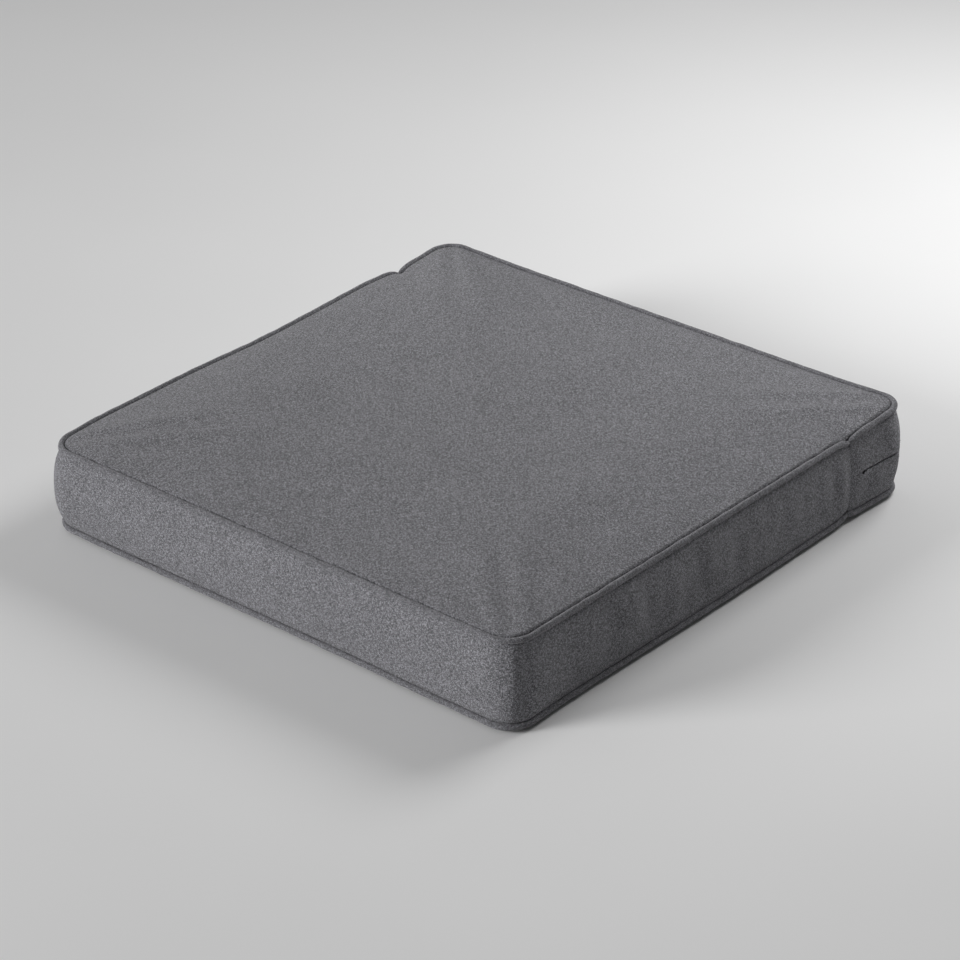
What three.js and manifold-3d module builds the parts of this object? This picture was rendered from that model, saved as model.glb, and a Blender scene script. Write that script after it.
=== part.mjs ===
// A square piped box cushion for kneeling or sitting on outdoors: a zipped fabric cover over a foam
// block with a fibre wrap. Millimetres, +Z up, +X right, +Y towards the back, where the zip runs.
// The origin is on the floor under the middle of the cushion.
import * as THREE from "three";
import { mergeVertices } from "three/addons/utils/BufferGeometryUtils.js";
import Module from "manifold-3d";

const wasm = await Module();
wasm.setup();

// ---- Driving dimensions ----

const SIDE = 600; // over the piping, both ways
const EDGE_HEIGHT = 93; // from the bottom of the lower piping to the top of the upper piping
const FLOOR_CLEARANCE = 3; // of the lower piping, which hangs just above the floor
const CROWN = 12; // the middle of the top panel stands this far above the upper piping
const CORNER_RADIUS = 30; // in plan, at the outside of the boxing
const CORNER_STEPS = 5;
const CLOTH = 1; // thickness of the cover's fabric
const PIPING_DIAMETER = 6;
const PIPING_CLOTH = 0.7; // the bias strip round the cord is a thinner fabric
const PIPING_STEPS = 9;
const CORD_DIAMETER = 4;
const CORD_SIDES = 8;
const SEAM_ALLOWANCE = 7; // of every layer, past the piping
const GAP = 0.3; // between pieces that touch on the real cushion

const SHOULDER = 16; // the top panel's rise out of its seam dies away over this length
const FOOT_RISE = 6.5; // the bottom panel's edge stands this far above its flat middle
const FOOT_INSET = 26; // the bottom panel is flat from this far in

const ZIP_JOIN_Y = 210; // the boxing meets the zip band here, on both sides
const ZIP_LAP = 12; // the zip band runs on under the end of the boxing
const ZIP_SINK = 1.4; // the zip band lies this far behind the boxing's face
const SLIT = 2.4; // between the folded edges of the zip band
const FOLD_BACK = 15; // from the middle of the zip to the cut edge of each folded strip

const FOAM_FRONT = 14; // room in front of the foam for the fibre wrap
const FOAM_FACE = 2.9; // from the boxing's face to the foam, at the sides and the back
const FOAM_FLOOR = 7; // height of the foam's underside
const FOAM_EDGE = 14; // width of the bevels that clear the seam allowances
const FIBRE = 8.5; // thickness of the fibre over the foam

const SLIDER_LENGTH = 11;
const SLIDER_FRONT = 9.6; // width where the two rows of teeth come in apart
const SLIDER_BACK = 8.6; // width where they leave together
const SLIDER_REST_X = -235; // closed, at the left end of the straight stretch of the zip
const BRIDGE_WIDTH = 2; // across the slit, of the arch that holds the pull
const BRIDGE_LENGTH = 8.4;
const EYE_LENGTH = 4.4; // of the hole in the arch
const EYE_HEIGHT = 1.9;
const PULL_LENGTH = 27;
const PULL_THICKNESS = 1.2;
const PULL_WIDTH = 7.2;

// ---- Derived sizes ----

const HALF = SIDE / 2 - PIPING_DIAMETER / 2; // to the outside of the boxing
const TOP_SEAM_Z = FLOOR_CLEARANCE + EDGE_HEIGHT - PIPING_DIAMETER / 2;
const LOW_SEAM_Z = FLOOR_CLEARANCE + PIPING_DIAMETER / 2;
const MIDDLE_Z = (TOP_SEAM_Z + LOW_SEAM_Z) / 2;
const TOP_Z = FLOOR_CLEARANCE + EDGE_HEIGHT + CROWN;
const BEYOND = SIDE; // a cutting box reaches past the cushion by this much

// ---- Solids ----

// A plan loop is a square of that half width with rounded corners, one [x, y] for each column of a
// sweep. The same column of each loop lies on one line square to the cushion's edge.
function planLoop(half) {
  const fullRadius = CORNER_RADIUS + half - HALF;
  const radius = Math.min(Math.max(fullRadius, CORNER_RADIUS / 4), half / 2);
  const points = [];
  for (let corner = 0; corner < 4; corner++) {
    const diagonal = (corner + 0.5) * (Math.PI / 2);
    const middleX = Math.sign(Math.cos(diagonal)) * (half - radius);
    const middleY = Math.sign(Math.sin(diagonal)) * (half - radius);
    for (let step = 0; step <= CORNER_STEPS; step++) {
      const angle = (corner + step / CORNER_STEPS) * (Math.PI / 2);
      points.push([middleX + radius * Math.cos(angle), middleY + radius * Math.sin(angle)]);
    }
  }
  return points;
}

// A manifold-3d solid of a closed three.js geometry.
function solidOf(geometry) {
  const bare = geometry.clone();
  bare.deleteAttribute("normal");
  bare.deleteAttribute("uv");
  const merged = mergeVertices(bare, 1e-4);
  const index = merged.index.array;
  const triangles = [];
  for (let i = 0; i < index.length; i += 3) {
    const [a, b, c] = index.slice(i, i + 3);
    if (a !== b && b !== c && c !== a) triangles.push(a, b, c);
  }
  const mesh = new wasm.Mesh({
    numProp: 3,
    vertProperties: new Float32Array(merged.attributes.position.array),
    triVerts: new Uint32Array(triangles),
  });
  return new wasm.Manifold(mesh);
}

// A three.js geometry of a solid, with flat faces.
function geometryOf(solid) {
  const mesh = solid.getMesh();
  const geometry = new THREE.BufferGeometry()
    .setAttribute("position", new THREE.BufferAttribute(mesh.vertProperties, 3))
    .setIndex(new THREE.BufferAttribute(mesh.triVerts, 1))
    .toNonIndexed();
  geometry.computeVertexNormals();
  return geometry;
}

// A profile is a list of [out, z]: the distance outside the boxing's face, and the height. Swept
// round the cushion it is a lathe whose columns are moved onto the plan loops. It closes on itself
// or starts and ends on the cushion's axis, at out = -HALF.
function swept(profile) {
  const columns = planLoop(HALF).length;
  const corners = profile.map(([out, z]) => new THREE.Vector2(HALF + out, z));
  if (THREE.ShapeUtils.isClockWise(corners)) corners.reverse();
  const lathe = new THREE.LatheGeometry(corners, columns);
  const position = lathe.attributes.position;
  corners.forEach(({ x: half, y: z }, row) => {
    const loop = planLoop(half);
    for (let column = 0; column <= columns; column++) {
      position.setXYZ(column * corners.length + row, ...loop[column % columns], z);
    }
  });
  return solidOf(lathe);
}

const ring = (profile) => swept([...profile, profile[0]]);

// The same profile at the lower edge of the cushion.
const mirrored = (profile) => profile.map(([out, z]) => [out, 2 * MIDDLE_Z - z]);

// A box between two corners.
function box(low, high) {
  const size = high.map((value, axis) => value - low[axis]);
  const middle = high.map((value, axis) => (value + low[axis]) / 2);
  return solidOf(new THREE.BoxGeometry(...size).translate(...middle));
}

// Everything behind a plane across the cushion.
const behind = (y) => box([-BEYOND, y, -BEYOND], [BEYOND, BEYOND, BEYOND]);

// A flat shape of [x, z] points pushed out of the back of the cushion, from one depth to another.
function plate(shape, inner, outer) {
  const settings = { depth: outer - inner, bevelEnabled: false, curveSegments: 6 };
  const geometry = new THREE.ExtrudeGeometry(shape, settings);
  return solidOf(geometry.rotateX(-Math.PI / 2).translate(0, inner, 0));
}

// The profile of a layer of even thickness along a line. The line may start on the axis.
function layer(line, thickness) {
  const points = line.map(([out, z]) => new THREE.Vector2(out, z));
  const side = (sign) =>
    points.map((point, i) => {
      const before = points[Math.max(i - 1, 0)];
      const after = points[Math.min(i + 1, points.length - 1)];
      const leaving = after.clone().sub(i === points.length - 1 ? before : point).normalize();
      const along = after.clone().sub(point).normalize();
      along.add(point.clone().sub(before).normalize()).normalize();
      const normal = new THREE.Vector2(-along.y, along.x);
      if (point.x === -HALF) normal.set(0, Math.sign(normal.y));
      const reach = thickness / 2 / Math.max(along.dot(leaving), 0.5);
      const moved = point.clone().addScaledVector(normal, sign * reach);
      return [moved.x, moved.y];
    });
  return [...side(1), ...side(-1).reverse()];
}

// ---- The seams ----

const SEAM_END = PIPING_DIAMETER / 2 + SEAM_ALLOWANCE;
const FLANGE_FACE = GAP / 2 + PIPING_CLOTH; // from the seam's middle to the outside of the flange
const ALLOWANCE_ACROSS = FLANGE_FACE + GAP + CLOTH / 2; // to the middle of a panel's allowance
const ALLOWANCE_START = 4.2; // from the middle of the piping, where the panels leave the seam

// A point in the upper seam: along the seam allowances from the middle of the piping, and across
// them towards the panel. The allowances point diagonally down into the cushion.
const inSeam = (along, across) => [
  (-along - across) * Math.SQRT1_2,
  TOP_SEAM_Z + (across - along) * Math.SQRT1_2,
];

const allowance = (across) => [inSeam(SEAM_END, across), inSeam(ALLOWANCE_START, across)];

// ---- Panels ----

const SEAM_INSET = 4.6;
const SHOULDER_INSETS = [SEAM_INSET, 7, 11, 17, 26, 40, 62, 100, 170, HALF];
const FOOT_INSETS = [SEAM_INSET, 7, 11, 17, FOOT_INSET, 100, HALF];

// Height of the middle of the top panel's fabric, at a distance in from the boxing's face. It is
// steep at the seam, turns over a soft shoulder and is nearly flat in the middle.
function topLineZ(inset) {
  const seamZ = TOP_SEAM_Z - 0.4;
  const risen = 1 - Math.exp((SEAM_INSET - inset) / SHOULDER);
  return seamZ + (TOP_Z - CLOTH / 2 - seamZ) * risen;
}

// Height of the middle of the bottom panel's fabric, which curves down from its seam to the floor.
function footLineZ(inset) {
  const left = Math.max((FOOT_INSET - inset) / (FOOT_INSET - SEAM_INSET), 0);
  return CLOTH / 2 + FOOT_RISE * left ** 3;
}

function topPanel() {
  const panel = SHOULDER_INSETS.map((inset) => [-inset, topLineZ(inset)]);
  const line = [...allowance(ALLOWANCE_ACROSS), ...panel];
  return swept(layer(line.reverse(), CLOTH));
}

function bottomPanel() {
  const panel = FOOT_INSETS.map((inset) => [-inset, footLineZ(inset)]);
  const line = [...mirrored(allowance(ALLOWANCE_ACROSS)), ...panel];
  return swept(layer(line.reverse(), CLOTH));
}

// ---- Boxing and zip band ----

// From the end of the upper seam allowance out to the face of the boxing.
const bandStart = [...allowance(-ALLOWANCE_ACROSS), [-CLOTH / 2, TOP_SEAM_Z - 5.2]];

function boxingBand() {
  const line = [...bandStart, ...mirrored(bandStart).reverse()];
  return ring(layer(line, CLOTH)).subtract(behind(ZIP_JOIN_Y));
}

const STRIP_OUT = -ZIP_SINK - CLOTH / 2; // the middle of the zip band's fabric
const FOLD_RADIUS = (CLOTH + GAP) / 2;
const LEAF_OUT = STRIP_OUT - 2 * FOLD_RADIUS; // the middle of its folded leaf, inside
const FOLD_STEPS = 4;

// A strip of the zip band sinks behind the boxing's face and folds back at the middle of the zip.
function zipStripProfile() {
  const foldZ = MIDDLE_Z + (SLIT + CLOTH) / 2 + FOLD_RADIUS;
  const fold = [];
  for (let step = 0; step <= FOLD_STEPS; step++) {
    const angle = (step / FOLD_STEPS) * Math.PI;
    const out = STRIP_OUT + FOLD_RADIUS * (Math.cos(angle) - 1);
    fold.push([out, foldZ - FOLD_RADIUS * Math.sin(angle)]);
  }
  const sinking = [
    [-CLOTH / 2, TOP_SEAM_Z - 9],
    [STRIP_OUT, TOP_SEAM_Z - 18],
  ];
  return layer([...bandStart, ...sinking, ...fold, [LEAF_OUT, MIDDLE_Z + FOLD_BACK]], CLOTH);
}

// Beside the seam allowances the strip ends at the boxing. The rest runs on under the boxing.
function zipBand(turned) {
  const reach = 20;
  const besideSeam = [
    [-reach, TOP_SEAM_Z - reach],
    [CLOTH, TOP_SEAM_Z - reach],
    [CLOTH, TOP_SEAM_Z + CLOTH],
    [-reach, TOP_SEAM_Z + CLOTH],
  ];
  const underBoxing = ring(turned(besideSeam)).subtract(behind(ZIP_JOIN_Y + GAP));
  const strip = ring(turned(zipStripProfile()));
  return strip.intersect(behind(ZIP_JOIN_Y - ZIP_LAP)).subtract(underBoxing);
}

// ---- Piping ----

// The bias strip wraps the cord and both its edges run into the seam, so its profile is a circle
// that stays open at the flange.
function pipingArc(radius, across) {
  const start = Math.asin(across / radius);
  const points = [];
  for (let step = 0; step <= PIPING_STEPS; step++) {
    const angle = start + (step / PIPING_STEPS) * 2 * (Math.PI - start);
    points.push(inSeam(radius * Math.cos(angle), radius * Math.sin(angle)));
  }
  return points;
}

function pipingCover(turned) {
  const radius = PIPING_DIAMETER / 2;
  const outside = [
    inSeam(SEAM_END, FLANGE_FACE),
    ...pipingArc(radius, FLANGE_FACE),
    inSeam(SEAM_END, -FLANGE_FACE),
  ];
  const inside = [
    inSeam(SEAM_END, GAP / 2),
    ...pipingArc(radius - PIPING_CLOTH, GAP / 2),
    inSeam(SEAM_END, -GAP / 2),
  ];
  return ring(turned([...outside, ...inside.reverse()]));
}

function pipingCord(turned) {
  const radius = CORD_DIAMETER / 2;
  const profile = Array.from({ length: CORD_SIDES }, (_, side) => {
    const angle = (side / CORD_SIDES) * 2 * Math.PI;
    return inSeam(radius * Math.cos(angle), radius * Math.sin(angle));
  });
  return ring(turned(profile));
}

// ---- Zip tapes and teeth ----

// Depths behind the boxing's face, from the outside in, that the slider's parts and the teeth share.
const SLIDER_TOP = [-5.4, -4.3];
const TEETH = [-8.1, -5.7];
const TAPE = [-8.9, -8.3];
const SLIDER_BASE = [-10.3, -9.2];

const TEETH_NEAR = 0.9; // from the middle of the zip to the near side of each row of teeth
const TEETH_FAR = 3.1;
const TEETH_BEVEL = 0.5;

function zipTeeth(turned) {
  const [inner, outer] = TEETH;
  const [near, far] = [MIDDLE_Z + TEETH_NEAR, MIDDLE_Z + TEETH_FAR];
  const profile = [
    [inner, near],
    [inner, far],
    [outer - TEETH_BEVEL, far],
    [outer, far - TEETH_BEVEL],
    [outer, near + TEETH_BEVEL],
    [outer - TEETH_BEVEL, near],
  ];
  return ring(turned(profile)).intersect(behind(ZIP_JOIN_Y - ZIP_LAP / 2));
}

// The tape leaves the slider's slot and slopes out to the folded leaf that it is sewn to.
function zipTape(turned) {
  const [inner, outer] = TAPE;
  const thickness = outer - inner;
  const sewn = LEAF_OUT - CLOTH / 2 - GAP - thickness / 2;
  const line = [
    [(inner + outer) / 2, MIDDLE_Z + TEETH_NEAR],
    [(inner + outer) / 2, MIDDLE_Z + SLIDER_FRONT / 2 + 0.4],
    [sewn, MIDDLE_Z + 10],
    [sewn, MIDDLE_Z + FOLD_BACK + 1],
  ];
  return ring(turned(layer(line, thickness))).intersect(behind(ZIP_JOIN_Y - ZIP_LAP));
}

// ---- Filling ----

// Room in the foam for the folded strips, the tapes and the slider.
function zipGroove() {
  const upper = [
    [BEYOND, 21],
    [-2.5, 21],
    [-5.6, 18],
    [-5.6, 13],
    [-11, 8.5],
  ];
  const profile = upper.map(([out, z]) => [Math.min(out, CLOTH), MIDDLE_Z + z]);
  return ring([...profile, ...mirrored(profile).reverse()]).intersect(
    behind(ZIP_JOIN_Y - ZIP_LAP - 2),
  );
}

// The foam block, grown by a distance all round.
function foamBlock(grown) {
  const underTop = (inset) => [-inset, topLineZ(inset) - FIBRE - CLOTH / 2 + grown];
  const insets = [FOAM_EDGE, ...SHOULDER_INSETS.filter((inset) => inset > FOAM_EDGE)];
  const face = grown - FOAM_FACE;
  const profile = [
    ...insets.map(underTop).reverse(),
    [face, TOP_SEAM_Z - FOAM_EDGE + grown],
    [face, LOW_SEAM_Z + FOAM_EDGE - grown],
    [-FOAM_EDGE, FOAM_FLOOR - grown],
    [-HALF, FOAM_FLOOR - grown],
  ];
  return swept(profile).intersect(behind(FOAM_FRONT - HALF - grown));
}

const foamCore = () => foamBlock(0).subtract(zipGroove());

// The inside of the cover, clear of the panels and of the seam allowances.
function inside() {
  const clear = CLOTH / 2 + GAP;
  const edge = 11;
  const end = SEAM_END + GAP;
  const across = ALLOWANCE_ACROSS + clear;
  const seam = [inSeam(end, across), inSeam(end, -across), [-CLOTH - GAP, TOP_SEAM_Z - 5.4]];
  const top = SHOULDER_INSETS.filter((inset) => inset >= edge).reverse();
  const foot = FOOT_INSETS.filter((inset) => inset >= edge);
  return swept([
    ...top.map((inset) => [-inset, topLineZ(inset) - clear]),
    ...seam,
    ...mirrored(seam).reverse(),
    ...foot.map((inset) => [-inset, footLineZ(inset) + clear]),
  ]);
}

// One sheet of fibre goes over the top, down the front and under the foam.
function fibreWrap() {
  const low = [-BEYOND, FOAM_FRONT - HALF, FOAM_FLOOR - GAP];
  const aroundFoam = box(low, [BEYOND, BEYOND, TOP_SEAM_Z - 4]);
  return inside().subtract(foamBlock(GAP)).subtract(aroundFoam);
}

// ---- Slider and pull ----

// Both have the middle of the zip at their origin, x along the zip and y out of the back.

function sliderOutline() {
  const end = SLIDER_LENGTH / 2;
  const round = 1.4;
  const [front, back] = [SLIDER_FRONT / 2, SLIDER_BACK / 2];
  return new THREE.Shape()
    .moveTo(end, round - front)
    .lineTo(end, front - round)
    .quadraticCurveTo(end, front, end - round, front)
    .lineTo(round - end, back)
    .quadraticCurveTo(-end, back, -end, back - round)
    .lineTo(-end, round - back)
    .quadraticCurveTo(-end, -back, round - end, -back)
    .lineTo(end - round, -front)
    .quadraticCurveTo(end, -front, end, round - front);
}

// The arch over the slider's top plate, with the eye that the pull turns in.
function sliderBridge() {
  const end = BRIDGE_LENGTH / 2;
  const [foot, crown] = [SLIDER_TOP[0] + 0.3, EYE_HEIGHT / 2 + 1.05];
  const round = 2;
  const arch = new THREE.Shape()
    .moveTo(-end, foot)
    .lineTo(end, foot)
    .lineTo(end, crown - round)
    .quadraticCurveTo(end, crown, end - round, crown)
    .lineTo(round - end, crown)
    .quadraticCurveTo(-end, crown, -end, crown - round);
  const [eyeEnd, eyeTop] = [EYE_LENGTH / 2, EYE_HEIGHT / 2];
  const eye = new THREE.Path()
    .moveTo(-eyeEnd, -eyeTop)
    .lineTo(-eyeEnd, eyeTop)
    .lineTo(eyeEnd, eyeTop)
    .lineTo(eyeEnd, -eyeTop);
  arch.holes.push(eye);
  const settings = { depth: BRIDGE_WIDTH, bevelEnabled: false, curveSegments: 4 };
  const bridge = new THREE.ExtrudeGeometry(arch, settings);
  return solidOf(bridge.translate(0, 0, -BRIDGE_WIDTH / 2));
}

// Two plates joined by the wedge between the teeth, with a flange along each side.
function zipSlider() {
  const sunk = 0.2;
  const topFoot = SLIDER_TOP[0] + sunk;
  const wedge = box([-2, SLIDER_BASE[1] - sunk, -0.5], [4.6, topFoot, 0.5]);
  let slider = plate(sliderOutline(), ...SLIDER_TOP)
    .add(plate(sliderOutline(), ...SLIDER_BASE))
    .add(wedge)
    .add(sliderBridge());
  const flangeEnd = SLIDER_LENGTH / 2 - 1.1;
  const [near, far] = [TEETH_FAR + 0.35, SLIDER_BACK / 2];
  for (const [low, high] of [
    [near, far],
    [-far, -near],
  ]) {
    slider = slider.add(box([-flangeEnd, TAPE[1] + 0.4, low], [flangeEnd, topFoot, high]));
  }
  return slider;
}

// The pull lies along -x. Its crossbar turns in the eye, between two arms.
function zipPull() {
  const bar = PULL_THICKNESS / 2;
  const [armIn, armOut] = [1.6, 2.9];
  const windowEnd = 5.9;
  const half = PULL_WIDTH / 2;
  const tipX = half - PULL_LENGTH;
  const waist = 2.5;
  const tab = new THREE.Shape()
    .moveTo(bar, -armOut)
    .lineTo(bar, armOut)
    .lineTo(-windowEnd, armOut)
    .quadraticCurveTo(tipX * 0.6, waist, tipX, half)
    .absarc(tipX, 0, half, Math.PI / 2, (3 * Math.PI) / 2, false)
    .quadraticCurveTo(tipX * 0.6, -waist, -windowEnd, -armOut);
  const slot = new THREE.Path()
    .moveTo(-windowEnd, -armIn)
    .lineTo(-windowEnd, armIn)
    .lineTo(-bar, armIn)
    .lineTo(-bar, -armIn);
  const hole = new THREE.Path().absarc(tipX, 0, half - 1.9, 0, 2 * Math.PI, true);
  tab.holes.push(slot, hole);
  return plate(tab, -bar, bar);
}

// ---- The cushion ----

const COVER = { color: 0x6a6a6e, roughness: 0.95, metalness: 0 };
const PIPING = { color: 0x5f5f63, roughness: 0.95, metalness: 0 };
const CORD = { color: 0xe8e6e0, roughness: 0.9, metalness: 0 };
const FOAM = { color: 0xe9dcae, roughness: 1, metalness: 0 };
const WADDING = { color: 0xf2f2f0, roughness: 1, metalness: 0 };
const TAPE_CLOTH = { color: 0x2b2b2e, roughness: 0.9, metalness: 0 };
const NYLON = { color: 0x222225, roughness: 0.45, metalness: 0 };
const ZINC = { color: 0x3a3a3c, roughness: 0.4, metalness: 0.85 };

function addPiece(parent, name, solid, look) {
  const mesh = new THREE.Mesh(geometryOf(solid), new THREE.MeshStandardMaterial(look));
  mesh.name = name;
  parent.add(mesh);
}

const cushion = new THREE.Group();
addPiece(cushion, "foam_core", foamCore(), FOAM);
addPiece(cushion, "fibre_wrap", fibreWrap(), WADDING);
addPiece(cushion, "top_panel", topPanel(), COVER);
addPiece(cushion, "bottom_panel", bottomPanel(), COVER);
addPiece(cushion, "boxing_band", boxingBand(), COVER);

const edges = { upper: (profile) => profile, lower: mirrored };
for (const [edge, turned] of Object.entries(edges)) {
  addPiece(cushion, `${edge}_piping_cover`, pipingCover(turned), PIPING);
  addPiece(cushion, `${edge}_piping_cord`, pipingCord(turned), CORD);
  addPiece(cushion, `${edge}_zip_band`, zipBand(turned), COVER);
  addPiece(cushion, `${edge}_zip_tape`, zipTape(turned), TAPE_CLOTH);
  addPiece(cushion, `${edge}_zip_teeth`, zipTeeth(turned), NYLON);
}

const runner = new THREE.Group();
runner.position.set(SLIDER_REST_X, HALF, MIDDLE_Z);
addPiece(runner, "zip_slider", zipSlider(), ZINC);
addPiece(runner, "zip_pull", zipPull(), ZINC);
cushion.add(runner);

export default cushion;
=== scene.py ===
import math

import bmesh
import bpy
import numpy as np
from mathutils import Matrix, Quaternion, Vector
from mathutils.bvhtree import BVHTree


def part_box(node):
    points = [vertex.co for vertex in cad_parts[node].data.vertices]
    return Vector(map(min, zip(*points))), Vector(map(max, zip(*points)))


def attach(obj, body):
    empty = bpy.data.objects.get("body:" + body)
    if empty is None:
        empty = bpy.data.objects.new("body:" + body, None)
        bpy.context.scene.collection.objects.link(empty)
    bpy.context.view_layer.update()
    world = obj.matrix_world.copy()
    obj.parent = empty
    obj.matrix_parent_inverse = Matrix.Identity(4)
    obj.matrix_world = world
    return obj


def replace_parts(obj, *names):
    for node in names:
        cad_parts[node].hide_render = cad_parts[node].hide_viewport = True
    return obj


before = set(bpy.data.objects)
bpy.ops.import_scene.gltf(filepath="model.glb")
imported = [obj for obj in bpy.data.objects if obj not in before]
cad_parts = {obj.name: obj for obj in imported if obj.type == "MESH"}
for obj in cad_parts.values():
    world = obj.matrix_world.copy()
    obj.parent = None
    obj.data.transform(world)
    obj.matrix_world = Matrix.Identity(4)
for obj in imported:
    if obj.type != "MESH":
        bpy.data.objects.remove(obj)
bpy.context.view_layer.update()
scene = bpy.context.scene

MM = 0.001
UP = np.array([0, 0, 1.0])

# ---- Sizes from the frame ----

PIPING_RADIUS = 3 * MM
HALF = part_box("upper_piping_cover")[1].x - PIPING_RADIUS  # from the middle to the boxing's face
UPPER_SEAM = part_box("upper_piping_cover")[1].z - PIPING_RADIUS
LOWER_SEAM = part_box("lower_piping_cover")[0].z + PIPING_RADIUS
MIDDLE = (UPPER_SEAM + LOWER_SEAM) / 2
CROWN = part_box("top_panel")[1].z
BOXING_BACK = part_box("boxing_band")[1].y  # the boxing ends here and the zip band begins

# ---- The cushion's own shape ----

CORNER_RADIUS = 27 * MM
CLOTH = 1.0 * MM
PIPING_CLOTH = 0.7 * MM
SEAM_GAP = 0.15 * MM  # between layers that are sewn together
RIGHT_JOIN = BOXING_BACK - 3 * MM
LEFT_JOIN = BOXING_BACK + 6 * MM
PANEL_INSET = 3.2 * MM  # where the panels leave the seam, behind the boxing's face
PANEL_RISE = 2.2 * MM  # and past the middle of the piping
BAND_DROP = 3.9 * MM  # where the boxing leaves the seam, short of the middle of the piping
BULGE = 3.5 * MM
SHOULDER = 25 * MM
CROWN_START = 0.78  # the top panel starts this full and the filling does the rest
FOOT_INSET = 34 * MM
ZIP_SINK = 1.4 * MM  # the zip band's face lies this far behind the boxing's
ZIP_LAP = 12 * MM
LAP_SINK = 2.3 * MM  # where the zip band runs on under the boxing's folded end
LIP_RADIUS = 0.65 * MM  # of the zip band's fold at the slit
LIP_LEAF = 13 * MM

RINGS = 44  # cells from the middle of a panel to its seam
COLUMNS = 8 * RINGS  # cells round the boxing
ROWS = 12  # cells up the boxing

FILLING_PRESSURE = 0.8
CLOTH_STIFFNESS = 60
CLOTH_STEPS = 20
CLOTH_REACH = 3.5 * MM  # no point moves further than this


# ---- Small tools ----


def smooth(value, low=0.0, high=1.0):
    """0 up to low and 1 from high, with a smooth step between."""
    share = np.clip((np.asarray(value, float) - low) / (high - low), 0, 1)
    return share * share * (3 - 2 * share)


def bump(distance, width):
    """1 at no distance, dying away over that width with a round top."""
    return np.exp(-((np.asarray(distance, float) / width) ** 2))


def notch(distance, width):
    """1 at no distance, dying away over that width with a narrow top."""
    return np.exp(1 - np.sqrt(1 + (np.asarray(distance, float) * 2 / width) ** 2))


def unit(vectors):
    return vectors / np.maximum(np.linalg.norm(vectors, axis=-1, keepdims=True), 1e-12)


def joined(flat, heights):
    """Flat points with heights added."""
    heights = np.broadcast_to(heights, flat.shape[:-1])
    return np.concatenate([flat, heights[..., None]], -1)


def waves(x, y, length, seed, count=9):
    """Soft random waves, mostly between -1 and 1, about that long."""
    rng = np.random.default_rng(seed)
    total = np.zeros(np.broadcast(x, y).shape)
    for _ in range(count):
        heading, start = rng.uniform(0, 2 * math.pi, 2)
        one = length * rng.uniform(0.7, 1.5)
        total += np.sin(2 * math.pi * (x * math.cos(heading) + y * math.sin(heading)) / one + start)
    return total / math.sqrt(count)


# ---- The cushion's plan ----


def plan(turn, half=HALF, radius=CORNER_RADIUS):
    """Points and outward directions round a square with rounded corners, at shares of the way
    round, from the middle of the back towards the left."""
    turn, half, radius = np.broadcast_arrays(np.mod(turn, 1.0), half, radius)
    straight = half - radius
    arc = radius * math.pi / 2
    side = 2 * straight + arc
    quarter = np.minimum((turn * 4).astype(int), 3)
    along = (turn * 4 - quarter) * side
    angle = np.clip((along - straight) / radius, 0, math.pi / 2)
    x = -np.minimum(along, straight) - radius * np.sin(angle)
    y = straight + radius * np.cos(angle) - np.maximum(along - straight - arc, 0)
    spin = quarter * math.pi / 2
    cos, sin = np.cos(spin), np.sin(spin)
    facing = spin + angle + math.pi / 2
    out = np.stack([np.cos(facing), np.sin(facing), 0 * facing], -1)
    return np.stack([x * cos - y * sin, x * sin + y * cos], -1), out


SIDE_LENGTH = 2 * (HALF - CORNER_RADIUS) + CORNER_RADIUS * math.pi / 2
ROUND_LENGTH = 4 * SIDE_LENGTH


def turn_at(y, side):
    """The share of the way round at a place y on the left (-1) or right (1) side."""
    share = (SIDE_LENGTH - y) / ROUND_LENGTH
    return share if side < 0 else 1 - share


def square_turn(u, v):
    """The share of the way round a square, from the middle of its back towards the left."""
    reach = np.maximum(np.maximum(abs(u), abs(v)), 1e-9)
    a, b = u / reach, v / reach
    sides = [b >= abs(a), -a > abs(b), -b >= abs(a), a > abs(b)]
    return np.mod(np.select(sides, [-a, 2 - b, 4 + a, 6 + b]) / 8, 1.0)


CORNERS = (  # side in x, side in y, how far out its foot, middle and top stand, its lift
    (-1, -1, (-2 * MM, 2.6 * MM, -3.5 * MM), -2.5 * MM),
    (1, -1, (3.5 * MM, 0.5 * MM, 0), 0),
    (1, 1, (4.5 * MM, 8.6 * MM, 3 * MM), 1.6 * MM),
    (-1, 1, (-3 * MM, 1 * MM, 1 * MM), 1.5 * MM),
)
SWAYS = (  # side in x, where along it, how far it reaches, how far out its top and its foot stand
    (-1, -180 * MM, 60 * MM, -1.6 * MM, 0),
    (-1, 0, 75 * MM, -3.6 * MM, 0),
    (-1, 165 * MM, 50 * MM, 3 * MM, 0),
    (1, 20 * MM, 190 * MM, 0, 3 * MM),
)
CORNER_REACH = 50 * MM  # how far from a corner its own shape goes
LIFT_REACH = 60 * MM
BACK_LIFT = 2.6 * MM
FRONT_SWAY = 2.2 * MM  # the front's foot stands out near the right corner
FRONT_SWAY_AT = 205 * MM
FRONT_SWAY_REACH = 75 * MM
SLIDER_REACH = -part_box("zip_slider")[0].x + 5 * MM  # the zip keeps its place along the slider's way
SLIDER_EASE = 30 * MM  # past the slider's way the zip moves with the corner again, over this length
JOINS = ((1, RIGHT_JOIN), (-1, LEFT_JOIN))
JOIN_WIDTH = 11 * MM
JOIN_DIP = 4.6 * MM  # of the upper seam
JOIN_RISE = 2.6 * MM  # of the lower seam
JOIN_DRAW = 0.8 * MM  # inwards, of both


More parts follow.
